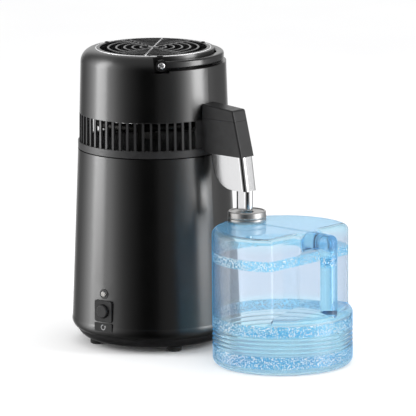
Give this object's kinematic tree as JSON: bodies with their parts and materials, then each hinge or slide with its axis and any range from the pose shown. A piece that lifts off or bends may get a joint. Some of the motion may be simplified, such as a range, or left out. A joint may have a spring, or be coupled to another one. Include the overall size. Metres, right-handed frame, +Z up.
{
  "type": "countertop water distiller",
  "caption": "Countertop water distiller: black conical boiler, lift-off louvred head with fan and coil, side spout with bright filter cup, and a clear blue jug with moulded grip.",
  "frame": {"origin": "on the table, under the boiler's axis, at the centre of its ring of feet", "axes": "+Z up, +X from the boiler towards the spout and jug, the controls face about -Y"},
  "size_m": [0.3915, 0.2086, 0.362],
  "materials": {
    "satin_black": "satin",
    "black_plastic": "matt",
    "spout_black": "satin",
    "rubber": "matt",
    "steel": "brushed",
    "chrome": "polished",
    "aluminium": "as cast",
    "motor": "satin",
    "fan_plastic": "matt",
    "brass": "bright",
    "lamp_lens": "clear",
    "sachet": "woven",
    "jug_blue": "clear"
  },
  "bodies": {
    "boiler": {"boiler_shell": "satin_black", "base_tray": "black_plastic", "rubber_feet": "rubber", "foot_screws": "steel", "boiling_chamber": "steel", "chamber_rim": "steel", "chamber_floor": "steel", "heater_plate": "aluminium", "heating_element": "steel", "heater_clamp": "steel", "clamp_nut": "steel", "boil_dry_cutout": "black_plastic", "reset_bezel": "black_plastic", "reset_switch": "black_plastic", "label_plate": "black_plastic", "lamp_holder": "black_plastic", "pilot_lamp": "lamp_lens", "mains_inlet": "black_plastic", "inlet_pins": "brass", "lead_grommet": "black_plastic"},
    "head": {"head_shell": "satin_black", "louvre_ring": "black_plastic", "lid_plate": "steel", "lid_gasket": "rubber", "condenser_coil": "steel", "steam_fitting": "steel", "outlet_ferrule": "steel", "coil_stays": "steel", "fan_shroud": "black_plastic", "motor_strap": "aluminium", "fan_motor": "motor", "motor_screws": "steel", "fan_guard": "black_plastic", "guard_screws": "steel", "fan_inlet": "black_plastic", "handle_brackets": "black_plastic", "pivot_screws": "chrome", "spout_cover": "spout_black", "filter_cup": "chrome", "drip_tube": "chrome", "carbon_sachet": "sachet"},
    "fan": {"fan_shaft": "steel", "fan_rotor": "fan_plastic"},
    "handle": {"carry_handle": "black_plastic"},
    "reset": {"reset_button": "spout_black"},
    "spout_top": {"spout_cap": "spout_black"},
    "jug": {"jug_body": "jug_blue"},
    "cap": {"jug_cap": "chrome", "cap_seal": "rubber"}
  },
  "joints": [
    {"name": "head_lift", "type": "slide", "parent": "boiler", "child": "head", "axis": [0, 0, 1], "range_m": [0, 0.16]},
    {"name": "fan_spin", "type": "hinge", "parent": "head", "child": "fan", "pos_m": [0, 0, 0.34], "axis": [0, 0, 1], "continuous": true},
    {"name": "handle_swing", "type": "hinge", "parent": "head", "child": "handle", "pos_m": [0, 0, 0.351], "axis": [0.7547, -0.6561, 0], "range_deg": [0, 90]},
    {"name": "reset_press", "type": "slide", "parent": "boiler", "child": "reset", "axis": [-0.0698, 0.9976, 0], "range_m": [0, 0.002], "stiffness_N_per_m": 500, "springref_m": -0.002},
    {"name": "spout_top_lift", "type": "slide", "parent": "head", "child": "spout_top", "axis": [0, 0, 1], "range_m": [0, 0.04]},
    {"name": "jug_slide", "type": "slide", "parent": "boiler", "child": "jug", "axis": [1, 0, 0], "range_m": [0, 0.15]},
    {"name": "cap_turn", "type": "hinge", "parent": "jug", "child": "cap", "pos_m": [0.15, 0, 0.17], "axis": [0, 0, 1], "continuous": true}
  ]
}
